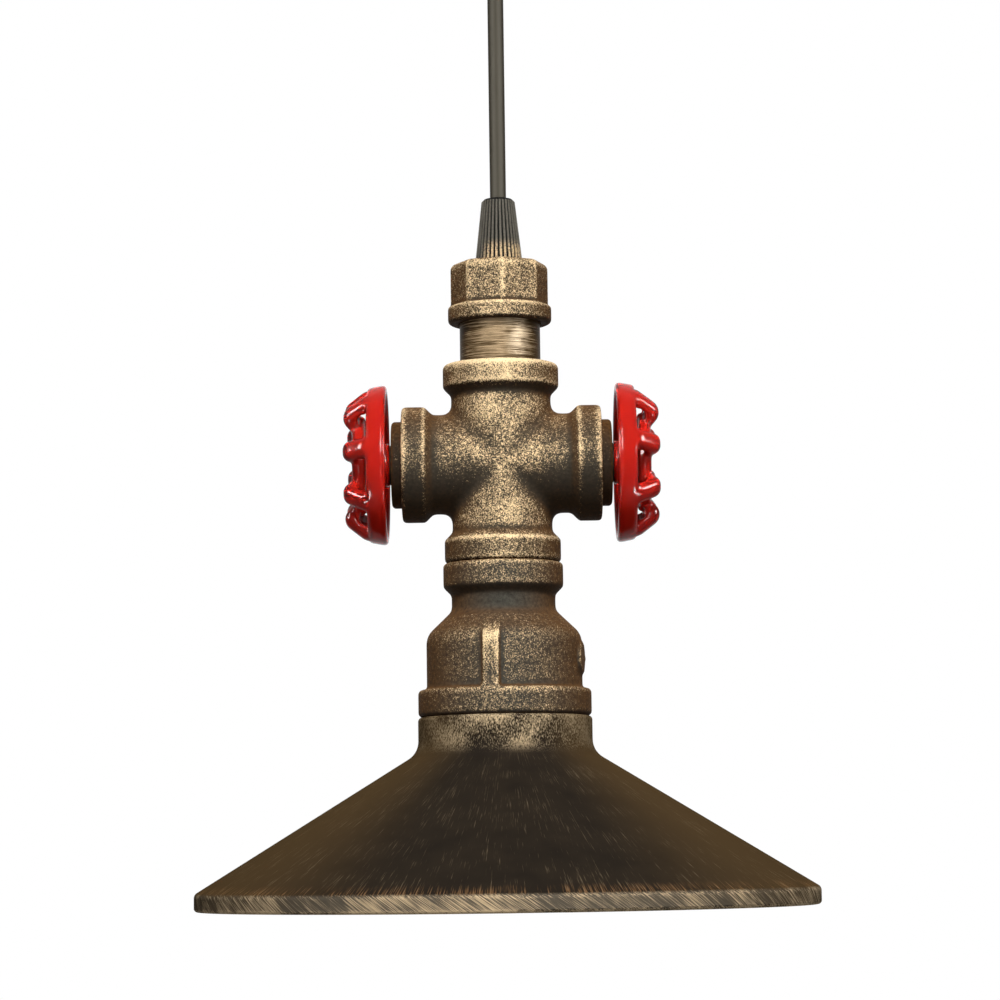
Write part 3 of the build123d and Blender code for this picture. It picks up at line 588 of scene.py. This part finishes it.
@dataclass(frozen=True)
class SpunShade(Finish):
    """Spun sheet in brown-black lacquer, gold brushed on its neck and rim, with painted glow, shade
    and sheen by the sides.
    """

    top: float
    foot: float
    neck_start: float = 13.2 * MM
    neck_full: float = 7.2 * MM
    edge_start: float = 8.9 * MM
    band_start: float = 6.2 * MM
    band_full: float = 5.0 * MM
    hem_start: float = 1.5 * MM
    hem_full: float = 0.5 * MM
    lacquer: Colour = (0.011, 0.0092, 0.0075)
    brown: Colour = (0.027, 0.020, 0.013)
    # Painted warm glow on the sides.
    painted_side_glow: Colour = (0.058, 0.036, 0.016)
    # The rim band's grey: partly its own tone, partly a painted sheen.
    grey: Colour = (0.105, 0.088, 0.066)
    gold: Colour = (0.56, 0.42, 0.25)
    red_gold: Colour = (0.30, 0.15, 0.06)
    speck: Triple = (0.36 * MM, 0.36 * MM, 0.8 * MM)
    streak: Triple = (0.42 * MM, 0.42 * MM, 8 * MM)
    streak_lean: float = 14.0
    scratches_round: float = 210.0
    scratches_along: float = 130.0
    scratch_depth: float = 0.06 * MM
    cloud: float = 14 * MM
    aside_start: float = 0.35
    aside_full: float = 0.95
    neck_dust: Dusting = Dusting(0.7, 0.38, 0.80)
    neck_front: float = 0.95
    # Painted shade on the neck's sides.
    neck_side_shade: float = 0.6
    rim_dust: Dusting = Dusting(0.5, 0.46, 0.72, 0.9)
    hem_gain: float = 0.12
    cone_dust: Dusting = Dusting(0.3, 0.60, 0.82, 0.16)
    edge_dust: Dusting = Dusting(0.4, 0.50, 0.68, 0.4)
    # How much grey the rim band takes in front, and how much of that painted sheen fades at the
    # sides.
    band_front: float = 0.8
    band_sheen_side_loss: float = 0.4
    roughness: float = 0.5
    gold_gloss: float = 0.1
    gold_metal: float = 0.15
    shine: float = 0.0

    def paint(self, sheet: MaterialSheet) -> None:
        """Put specks on the neck, scratches down the cone and slanting streaks on the rim, with a
        painted warm glow on the sides, painted shade on the neck's sides and a painted sheen on the
        rim's grey.

        Args:
            sheet: the material's nodes.
        """
        place = sheet.place()
        x, y, z = sheet.split(place)
        radius = from_axis(x, y)
        neck = z.rise(self.top - self.neck_start, self.top - self.neck_full)
        edge = z.rise(self.foot + self.edge_start, self.foot + self.band_start)
        band = z.rise(self.foot + self.band_start, self.foot + self.band_full)
        hem = z.rise(self.foot + self.hem_start, self.foot + self.hem_full)
        # How far the surface faces sideways, which sets the painted glow, shade and sheen.
        aside = abs(x / radius).rise(self.aside_start, self.aside_full)
        speck = sheet.noise(sheet.stretch(place, self.speck))
        scratch = sheet.noise(
            sheet.join(
                x / radius * self.scratches_round,
                y / radius * self.scratches_round,
                radius * self.scratches_along,
            ),
            roughness=0.6,
        )
        turned = sheet.node(
            "ShaderNodeVectorRotate",
            {"rotation_type": "Z_AXIS"},
            {"Vector": place, "Angle": z * self.streak_lean},
        )
        streak = sheet.noise(sheet.stretch(turned, self.streak), detail=3.0)
        cloud = sheet.noise(place, self.cloud)
        neck_gold = self.neck_dust.on(speck, cloud) * neck
        # Painted shade: less gold on the neck's sides.
        neck_gold = neck_gold * (self.neck_front - self.neck_side_shade * aside)
        rim_gold = self.rim_dust.on(streak + self.hem_gain * hem, cloud) * band
        gold = neck_gold.larger(rim_gold).larger(self.cone_dust.on(scratch, cloud))
        ticks = self.edge_dust.on(scratch, cloud) * edge * (1.0 - band)
        # The lacquer's own clouded tone, with a painted warm glow on the sides.
        lacquer_and_side_glow = sheet.mix(aside, sheet.mix(cloud, self.lacquer, self.brown), self.painted_side_glow)
        # Grey on the rim band, partly its own tone and partly a painted sheen that fades at the
        # sides.
        band_grey_and_sheen = sheet.mix(band * (self.band_front - self.band_sheen_side_loss * aside), lacquer_and_side_glow, self.grey)
        sheet.surface(
            Base_Color=sheet.mix(gold, sheet.mix(ticks, band_grey_and_sheen, self.red_gold), self.gold),
            Roughness=self.roughness - self.gold_gloss * gold,
            Metallic=self.gold_metal * gold,
            Specular_IOR_Level=self.shine,
            Normal=sheet.bump(scratch, self.scratch_depth),
        )


@dataclass(frozen=True)
class FlutedGrip(Finish):
    """Black moulded grip, gold dusted on the front of its ridges' feet, with a painted highlight on
    the ridges.
    """

    top: float
    foot: float
    foot_radius: float
    top_radius: float = 5.5 * MM
    ridge_start: float = -0.336 * MM
    ridge_full: float = -0.042 * MM
    black: Colour = (0.006, 0.006, 0.005)
    # Painted highlight on the ridges, and the least share of it.
    ridge_highlight: Colour = (0.115, 0.105, 0.085)
    ridge_highlight_least: float = 0.4
    gold: Colour = (0.62, 0.44, 0.24)
    gold_start: float = 8.0 * MM
    gold_full: float = 3.2 * MM
    gold_turn: float = 0.35
    front_start: float = 0.25
    front_full: float = 0.85
    grain: float = 0.6 * MM
    grain_start: float = 0.3
    grain_full: float = 0.6
    grain_height: float = 0.1 * MM
    roughness: float = 0.55
    gold_gloss: float = 0.1
    shine: float = 0.06

    def paint(self, sheet: MaterialSheet) -> None:
        """Put grey on the ridges as a painted highlight, the grip's black in the flutes, and gold
        low down in front.

        Args:
            sheet: the material's nodes.
        """
        place = sheet.place()
        x, y, z = sheet.split(place)
        grain = sheet.noise(place, self.grain)
        share = (self.top - z) / (self.top - self.foot)
        line = self.top_radius + share * (self.foot_radius - self.top_radius)
        ridge = (from_axis(x, y) - line).rise(self.ridge_start, self.ridge_full)
        low = z.rise(self.foot + self.gold_start, self.foot + self.gold_full)
        ahead = (self.gold_turn * x - y) / self.foot_radius
        front = ahead.rise(self.front_start, self.front_full)
        gold = low * ridge * front * grain.rise(self.grain_start, self.grain_full)
        # Painted highlight on the ridges, against the grip's black in the flutes.
        grey = sheet.mix(ridge * (self.ridge_highlight_least + grain), self.black, self.ridge_highlight)
        sheet.surface(
            Base_Color=sheet.mix(gold, grey, self.gold),
            Roughness=self.roughness - self.gold_gloss * gold,
            Specular_IOR_Level=self.shine,
            Normal=sheet.bump(grain, self.grain_height),
        )


@dataclass(frozen=True)
class Plain(Finish):
    """A surface of one colour, with a fine grain in its tone, gloss and bump."""

    colour: Colour
    roughness: float = 0.5
    metallic: float = 0.0
    grain: float = 1.5 * MM
    grain_height: float = 0.05 * MM
    grain_roughness: float = 0.16
    tone: float = 0.25
    shine: float = 0.5

    def paint(self, sheet: MaterialSheet) -> None:
        """Lay the colour, a little darker in the grain's dips.

        Args:
            sheet: the material's nodes.
        """
        grain = sheet.noise(sheet.place(), self.grain, detail=3.0)
        sheet.surface(
            Base_Color=sheet.mix(grain, darker(self.colour, self.tone), self.colour),
            Roughness=self.roughness + self.grain_roughness * (grain - EVEN),
            Metallic=self.metallic,
            Specular_IOR_Level=self.shine,
            Normal=sheet.bump(grain, self.grain_height),
        )


@dataclass(frozen=True)
class OpalGlass(Finish):
    """Opal glass that lets a soft light through."""

    white: Colour = (0.86, 0.84, 0.79)
    tone: float = 0.05
    cloud: float = 8 * MM
    roughness: float = 0.22
    cloud_roughness: float = 0.08
    milk: float = 0.3
    milk_depth: float = 2 * MM
    milk_colour: Colour = (1.0, 0.95, 0.85)

    def paint(self, sheet: MaterialSheet) -> None:
        """Lay a milky white with a satin gloss.

        Args:
            sheet: the material's nodes.
        """
        cloud = sheet.noise(sheet.place(), self.cloud)
        sheet.surface(
            Base_Color=sheet.mix(cloud, darker(self.white, self.tone), self.white),
            Roughness=self.roughness + self.cloud_roughness * cloud,
            Subsurface_Weight=self.milk,
            Subsurface_Radius=self.milk_colour,
            Subsurface_Scale=self.milk_depth,
        )


@dataclass(frozen=True)
class CordSheath(Finish):
    """Smooth grey-black sheath, with painted highlights on its shoulders, painted shade at its
    sides and a little painted shade along its front and back.
    """

    # Painted highlight on the shoulders, and painted shade at the sides.
    front: Colour = (0.096, 0.088, 0.070)
    side: Colour = (0.022, 0.017, 0.010)
    side_start: float = 0.5
    side_full: float = 0.98
    middle_shade: float = 0.4
    middle_shade_edge: float = 0.4
    grain: Triple = (0.8 * MM, 0.8 * MM, 14 * MM)
    grain_sway: float = 0.3
    grain_height: float = 0.02 * MM
    roughness: float = 0.34
    grain_roughness: float = 0.1
    shine: float = 0.03

    def paint(self, sheet: MaterialSheet) -> None:
        """Lay grey on the shoulders as painted highlights, fading to painted shade at the sides,
        with a fine grain.

        Args:
            sheet: the material's nodes.
        """
        grain = sheet.noise(sheet.stretch(sheet.place(), self.grain))
        across, _, _ = sheet.split(sheet.facing())
        # Painted shade: a little along the front and back, and most at the sides.
        middle_shade = self.middle_shade * abs(across).rise(self.middle_shade_edge, 0.0)
        dark = abs(across).rise(self.side_start, self.side_full).larger(middle_shade)
        sheet.surface(
            Base_Color=sheet.mix(dark + self.grain_sway * (grain - EVEN), self.front, self.side),
            Roughness=self.roughness + self.grain_roughness * grain,
            Specular_IOR_Level=self.shine,
            Normal=sheet.bump(grain, self.grain_height),
        )


@dataclass(frozen=True)
class PaleFloor(Finish):
    """A floor that stays pale away from the lamps and keeps a faint shadow."""

    colour: Colour = (0.86, 0.86, 0.85)
    shine: Colour = (0.98, 0.98, 0.975)
    glow: float = 0.9
    roughness: float = 0.8

    def paint(self, sheet: MaterialSheet) -> None:
        """Matt, with a paler glow where it is looked at."""
        sheet.surface(Base_Color=self.colour, Roughness=self.roughness)
        sheet.glow(self.glow * sheet.seen(), self.shine)


def slot_finishes() -> dict[str, Finish]:
    """Choose the finish of each of the record's slots.

    Returns:
        The finishes by slot.
    """
    shade_low, shade_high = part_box("shade")
    return {
        "antique_bronze": CastBronze(),
        "brushed_bronze": BrushedPipe(),
        "dark_bronze": Plain(
            (0.034, 0.023, 0.015), grain=1.2 * MM, grain_height=0.12 * MM, tone=0.7, shine=0.06
        ),
        "shade_bronze": SpunShade(top=shade_high.z, foot=shade_low.z),
        "wheel_red": RedEnamel(),
        "grip_black": Plain((0.030, 0.029, 0.026), shine=0.2),
        "cord_black": CordSheath(),
        "canopy_black": Plain(
            (0.035, 0.031, 0.028), grain=0.5 * MM, grain_height=0.06 * MM, tone=0.3, shine=0.2
        ),
        "zinc_steel": Plain(
            (0.42, 0.42, 0.41), roughness=0.36, metallic=0.9, grain=2 * MM, tone=0.2
        ),
        "terminal_white": Plain((0.74, 0.73, 0.68), roughness=0.45),
        "core_copper": Plain((0.26, 0.12, 0.05), roughness=0.4),
        "holder_black": Plain((0.024, 0.022, 0.020), roughness=0.3),
        "holder_ceramic": Plain((0.78, 0.76, 0.70), roughness=0.55),
        "brass": Plain((0.66, 0.47, 0.19), roughness=0.3, metallic=0.9),
        "bulb_opal": OpalGlass(),
        "bulb_metal": Plain((0.68, 0.67, 0.65), roughness=0.25, metallic=0.9),
        "bulb_black_glass": Plain((0.02, 0.02, 0.024), roughness=0.15),
    }


def node_finishes() -> dict[str, Finish]:
    """Choose the finishes of single nodes that are worn in their own way.

    Returns:
        The finishes by node.
    """
    grip_low, grip_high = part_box("cord_grip")
    cross_low, cross_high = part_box("cross_fitting")
    _, reducer_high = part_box("reducer")
    plug = CastBronze(
        rub=0.16, black=(0.012, 0.009, 0.007), grey=(0.050, 0.034, 0.022), crest_gain=0.35
    )
    return {
        "pipe_cap": CastBronze(rub=0.48, crest_gain=0.35),
        "cross_fitting": CrossBronze(
            rub=0.42, patchiness=0.4, middle=(cross_low.z + cross_high.z) / 2
        ),
        "reducer": ReducerBronze(
            rub=0.35, grey=(0.085, 0.080, 0.064), crest_gain=0.25, top=reducer_high.z
        ),
        "left_plug": plug,
        "right_plug": plug,
        "cord_grip": FlutedGrip(top=grip_high.z, foot=grip_low.z, foot_radius=grip_high.x),
    }


class Wardrobe:
    """The materials: one for each of the record's slots, and some for single nodes."""

    def __init__(self, record: Mapping[str, Any]) -> None:
        """Read which slot each node takes its finish from.

        Args:
            record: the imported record.
        """
        self.slot_of = {part["node"]: part["material_slot"] for part in record["subparts"]}
        self.finishes = slot_finishes() | node_finishes()
        self.made: dict[str, bpy.types.Material] = {}

    def dress(self, piece: bpy.types.Object, node: str) -> None:
        """Give a piece the material of a node, made when it is first asked for.

        Args:
            piece: the object.
            node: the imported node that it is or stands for.
        """
        name = node if node in self.finishes else self.slot_of[node]
        if name not in self.made:
            self.made[name] = self.finishes[name].material(name)
        piece.data.materials.clear()
        piece.data.materials.append(self.made[name])
        log.info("%s is dressed in %s", piece.name, name)


class Skin:
    """A mesh as arrays, to soften it and to find its crests and hollows."""

    STEP = 0.5

    def __init__(self, mesh: bpy.types.Mesh) -> None:
        """Read a mesh's points and edges.

        Args:
            mesh: the mesh, which later steps write to.
        """
        self.mesh = mesh
        self.count = len(mesh.vertices)
        self.points = self._read(mesh.vertices, "co", 3, np.float32).astype(float)
        self.ends = self._read(mesh.edges, "vertices", 2, np.int32)
        self.degree = np.bincount(self.ends.ravel(), minlength=self.count)[:, None]

    @staticmethod
    def _read(items: Any, name: str, width: int, kind: type) -> np.ndarray:
        """Read one property of all points or edges.

        Args:
            items: the mesh's points or edges.
            name: the property.
            width: how many numbers it has.
            kind: the type of number.

        Returns:
            A row for each item.
        """
        values = np.empty(len(items) * width, kind)
        items.foreach_get(name, values)
        return values.reshape(-1, width)

    def around(self, values: np.ndarray) -> np.ndarray:
        """Average each point's neighbours.

        Args:
            values: a row for each point.

        Returns:
            The mean rows.
        """
        start, end = self.ends.T
        sums = [
            np.bincount(start, column[end], self.count)
            + np.bincount(end, column[start], self.count)
            for column in values.T
        ]
        return np.stack(sums, axis=1) / self.degree

    def eased(
        self, values: np.ndarray, rounds: int, share: Union[float, np.ndarray] = 1.0
    ) -> np.ndarray:
        """Draw values towards their neighbours' mean.

        Args:
            values: a row for each point.
            rounds: how many times they are drawn.
            share: how far each point follows, from 0 to 1.

        Returns:
            The eased rows.
        """
        for _ in range(rounds):
            values = values + self.STEP * share * (self.around(values) - values)
        return values

    def soften(self, rounds: int, share: Union[float, np.ndarray] = 1.0) -> None:
        """Ease the points themselves, and write them back.

        Args:
            rounds: how many times they are eased.
            share: how far each point follows, from 0 to 1.
        """
        self.points = self.eased(self.points, rounds, share)
        self.mesh.vertices.foreach_set("co", self.points.astype(np.float32).ravel())
        self.mesh.update()

    def mark(self, rounds: int, full: float) -> None:
        """Store how far each point stands out or lies back, as crest and hollow from 0 to 1.

        Args:
            rounds: how widely the surface is eased for the comparison.
            full: the distance that counts as 1.
        """
        normals = self._read(self.mesh.vertices, "normal", 3, np.float32)
        offsets = self.points - self.eased(self.points, rounds)
        proud = np.einsum("ij,ij->i", offsets, normals) / full
        for name, values in (("crest", proud), ("hollow", -proud)):
            stored = self.mesh.attributes.new(name, "FLOAT", "POINT")
            stored.data.foreach_set("value", np.clip(values, 0.0, 1.0).astype(np.float32))


@dataclass(frozen=True)
class CastPiece:
    """A casting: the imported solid's form with softened edges and a skin that knows its crests."""

    node: str
    body: str
    voxel: float = 0.55 * MM
    rounds: int = 4
    extra_rounds: int = 0
    mark_rounds: int = 7
    mark_full: float = 0.14 * MM

    def share(self, points: np.ndarray) -> Union[float, np.ndarray]:
        """How far each point follows the extra softening."""
        return 0.0

    def build(self, wardrobe: Wardrobe) -> bpy.types.Object:
        """Make the piece, dress it and let it stand for its node.

        Args:
            wardrobe: where its material comes from.

        Returns:
            The piece.
        """
        mesh = self._even_skin()
        skin = Skin(mesh)
        skin.soften(self.rounds)
        if self.extra_rounds:
            skin.soften(self.extra_rounds, self.share(skin.points))
        skin.mark(self.mark_rounds, self.mark_full)
        mesh.shade_smooth()
        piece = bpy.data.objects.new("cast_" + self.node, mesh)
        bpy.context.scene.collection.objects.link(piece)
        wardrobe.dress(piece, self.node)
        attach(piece, self.body)
        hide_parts(self.node)
        log.info("%s stands for %s with %d faces", piece.name, self.node, len(mesh.polygons))
        return piece

    def _even_skin(self) -> bpy.types.Mesh:
        """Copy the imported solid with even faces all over.

        Returns:
            The new mesh.
        """
        rough = bpy.data.objects.new("rough_" + self.node, frame["nodes"][self.node].data.copy())
        bpy.context.scene.collection.objects.link(rough)
        remesh = rough.modifiers.new("even_skin", "REMESH")
        remesh.mode = "VOXEL"
        remesh.voxel_size = self.voxel
        graph = bpy.context.evaluated_depsgraph_get()
        mesh = bpy.data.meshes.new_from_object(rough.evaluated_get(graph))
        bpy.data.objects.remove(rough)
        mesh.name = "cast_" + self.node
        return mesh


@dataclass(frozen=True)
class CastCross(CastPiece):
    """The cross, whose barrels run into each other in soft corners."""

    extra_rounds: int = 14
    reach: float = 25 * MM
    corner_width: float = 7 * MM

    def share(self, points: np.ndarray) -> np.ndarray:
        """Soften along the lines where the barrels meet, and not on the beads.

        Args:
            points: a row for each point.

        Returns:
            How far each point follows, a row each.
        """
        low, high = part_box(self.node)
        across = np.abs(points[:, 0])
        along = np.abs(points[:, 2] - (low.z + high.z) / 2)
        near = np.clip(1.0 - np.abs(across - along) / self.corner_width, 0.0, 1.0)
        inside = np.clip((self.reach - np.maximum(across, along)) / self.corner_width, 0.0, 1.0)
        return (near * inside)[:, None]


@dataclass(frozen=True)
class HangingCord:
    """The cord, pulled straight between the ceiling's grip and the lamp's."""

    upper_bend: float = -37.8 * MM
    lower_bend: float = -109.8 * MM
    diameter: float = 5.4 * MM
    tuck: float = 1.2 * MM
    straight_diameters: float = 6.0
    facets: int = 10
    smoothness: int = 16
    order: int = 3

    def build(self, wardrobe: Wardrobe) -> bpy.types.Object:
        """Make the cord as one straight smooth curve.

        Args:
            wardrobe: where its material comes from.

        Returns:
            The cord.
        """
        top, bottom = self.upper_bend + self.tuck, self.lower_bend - self.tuck
        below_grip = self.upper_bend - self.straight_diameters * self.diameter
        curve = bpy.data.curves.new("hanging_cord", "CURVE")
        curve.dimensions = "3D"
        curve.bevel_depth = self.diameter / 2
        curve.bevel_resolution = self.facets
        curve.resolution_u = self.smoothness
        curve.use_fill_caps = True
        spline = curve.splines.new("NURBS")
        heights = (bottom, below_grip, top)
        spline.points.add(len(heights) - 1)
        for point, height in zip(spline.points, heights):
            point.co = (0.0, 0.0, height, 1.0)
        spline.order_u = self.order
        spline.use_endpoint_u = True
        piece = bpy.data.objects.new("hanging_cord", curve)
        bpy.context.scene.collection.objects.link(piece)
        wardrobe.dress(piece, "cord")
        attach(piece, "cord")
        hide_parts("cord")
        log.info("%s runs straight for %.0f mm", piece.name, (top - bottom) / MM)
        return piece


class Softbox(Enum):
    """The studio's lamps: bearing from front to right, height angle, distance, size and power."""

    FRONT = (0.0, 42.0, 1.5, 0.25, 3.0)
    LOW_FRONT = (0.0, -14.0, 1.5, 0.30, 0.55)
    LEFT = (-52.0, 24.0, 1.4, 0.25, 0.10)
    RIGHT = (56.0, 24.0, 1.4, 0.25, 0.45)
    BACK_LEFT = (-163.0, 40.0, 1.6, 0.5, 1.0)
    BACK_RIGHT = (163.0, 40.0, 1.6, 0.5, 1.0)


class Gleam(Enum):
    """Softboxes that show only as gloss on the enamel, given as the others are."""

    FRONT = (0.0, 22.0, 1.5, 0.4, 90.0)
    LEFT = (-68.0, 20.0, 1.4, 0.5, 120.0)
    RIGHT = (68.0, 20.0, 1.4, 0.5, 120.0)
    LOW_LEFT = (-48.0, -42.0, 1.5, 0.3, 45.0)
    LOW_RIGHT = (48.0, -42.0, 1.5, 0.3, 45.0)


@dataclass(frozen=True)
class Studio:
    """Floor, lamps, white surroundings and the camera."""

    aim: Triple = (0.0, 0.0, -0.24)
    floor_height: float = -1.3
    floor_size: float = 5.0
    white: Colour = (1.0, 1.0, 1.0)
    fill: float = 0.04
    fill_colour: Colour = (1.0, 0.98, 0.95)
    lamp_spread: float = 60.0
    camera_away: float = 1.070
    camera_aside: float = -0.00073
    camera_height: float = -0.3275
    camera_pitch: float = 6.2
    camera_roll: float = -0.79
    lens: float = 116.4
    sensor: float = 36.0

    def build(self, enamelled: Sequence[bpy.types.Object]) -> None:
        """Set up everything that isn't the lamp.

        Args:
            enamelled: the pieces that the gleams shine on.
        """
        self._surroundings()
        self._floor()
        for softbox in Softbox:
            self._lamp(softbox).data.spread = math.radians(self.lamp_spread)
        wheels = bpy.data.collections.new("enamelled")
        for piece in enamelled:
            wheels.objects.link(piece)
        for gleam in Gleam:
            lamp = self._lamp(gleam)
            lamp.light_linking.receiver_collection = wheels
            lamp.visible_diffuse = False
        self._camera()
        bpy.context.scene.view_settings.view_transform = "Standard"
        log.info("the studio has %d softboxes", len(Softbox) + len(Gleam))

    def _surroundings(self) -> None:
        """Show white where it is seen, straight or in a reflection, and a soft fill elsewhere."""
        world = bpy.data.worlds.new("white_studio")
        world.use_nodes = True
        sheet = NodeSheet(world.node_tree, "ShaderNodeOutputWorld")
        fill, white = (
            sheet.node("ShaderNodeBackground", inputs={"Color": colour, "Strength": strength})
            for colour, strength in ((self.fill_colour, self.fill), (self.white, 1.0))
        )
        sheet.show(sheet.blend(sheet.seen(), fill, white))
        bpy.context.scene.world = world

    def _floor(self) -> None:
        """Lay a pale floor well below the lamp."""
        half = self.floor_size / 2
        outline = ((-half, -half), (half, -half), (half, half), (-half, half))
        mesh = bpy.data.meshes.new("studio_floor")
        mesh.from_pydata([(x, y, self.floor_height) for x, y in outline], [], [(0, 1, 2, 3)])
        floor = bpy.data.objects.new("studio_floor", mesh)
        bpy.context.scene.collection.objects.link(floor)
        mesh.materials.append(PaleFloor().material("studio_floor"))

    def _lamp(self, softbox: Union[Softbox, Gleam]) -> bpy.types.Object:
        """Place one square softbox, turned towards the lamp.

        Args:
            softbox: which one.

        Returns:
            The softbox.
        """
        bearing, height, distance, size, power = softbox.value
        light = bpy.data.lights.new(softbox.name.lower(), "AREA")
        light.size = size
        light.energy = power
        lamp = bpy.data.objects.new(softbox.name.lower(), light)
        flat = distance * math.cos(math.radians(height))
        offset = Vector((
            flat * math.sin(math.radians(bearing)),
            -flat * math.cos(math.radians(bearing)),
            distance * math.sin(math.radians(height)),
        ))
        lamp.location = Vector(self.aim) + offset
        lamp.rotation_euler = (-offset).to_track_quat("-Z", "Y").to_euler()
        # Only the lamps in front show in the gloss.
        lamp.visible_glossy = offset.y < 0.0
        lamp.visible_camera = False
        bpy.context.scene.collection.objects.link(lamp)
        return lamp

    def _camera(self) -> None:
        """Set the camera a little below the wheels, looking slightly up."""
        data = bpy.data.cameras.new("camera")
        data.lens = self.lens
        data.sensor_width = self.sensor
        camera = bpy.data.objects.new("camera", data)
        place = Matrix.Translation((self.camera_aside, -self.camera_away, self.camera_height))
        pitch = Matrix.Rotation(math.radians(90.0 + self.camera_pitch), 4, "X")
        roll = Matrix.Rotation(math.radians(self.camera_roll), 4, "Z")
        camera.matrix_world = place @ pitch @ roll
        bpy.context.scene.collection.objects.link(camera)
        bpy.context.scene.camera = camera


def main() -> None:
    """Build the lamp's looks and the studio."""
    logging.basicConfig(level=logging.INFO, format="%(message)s")
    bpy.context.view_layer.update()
    wardrobe = Wardrobe(frame["record"])
    wheel_skin = {"voxel": 0.42 * MM, "rounds": 12}
    castings = [
        CastPiece("pipe_cap", "lamp", voxel=0.45 * MM),
        CastCross("cross_fitting", "lamp"),
        CastPiece("reducer", "lamp"),
        CastPiece("left_handwheel", "left_wheel", **wheel_skin),
        CastPiece("right_handwheel", "right_wheel", **wheel_skin),
    ]
    built = {casting.node: casting.build(wardrobe) for casting in castings}
    built["cord"] = HangingCord().build(wardrobe)
    for node, piece in frame["nodes"].items():
        if node not in built:
            wardrobe.dress(piece, node)
    # A real cord is far longer, so its ceiling fitting throws no shadow on it.
    frame["nodes"]["ceiling_canopy"].visible_shadow = False
    Studio().build([built["left_handwheel"], built["right_handwheel"]])


if __name__ == "__main__":
    main()
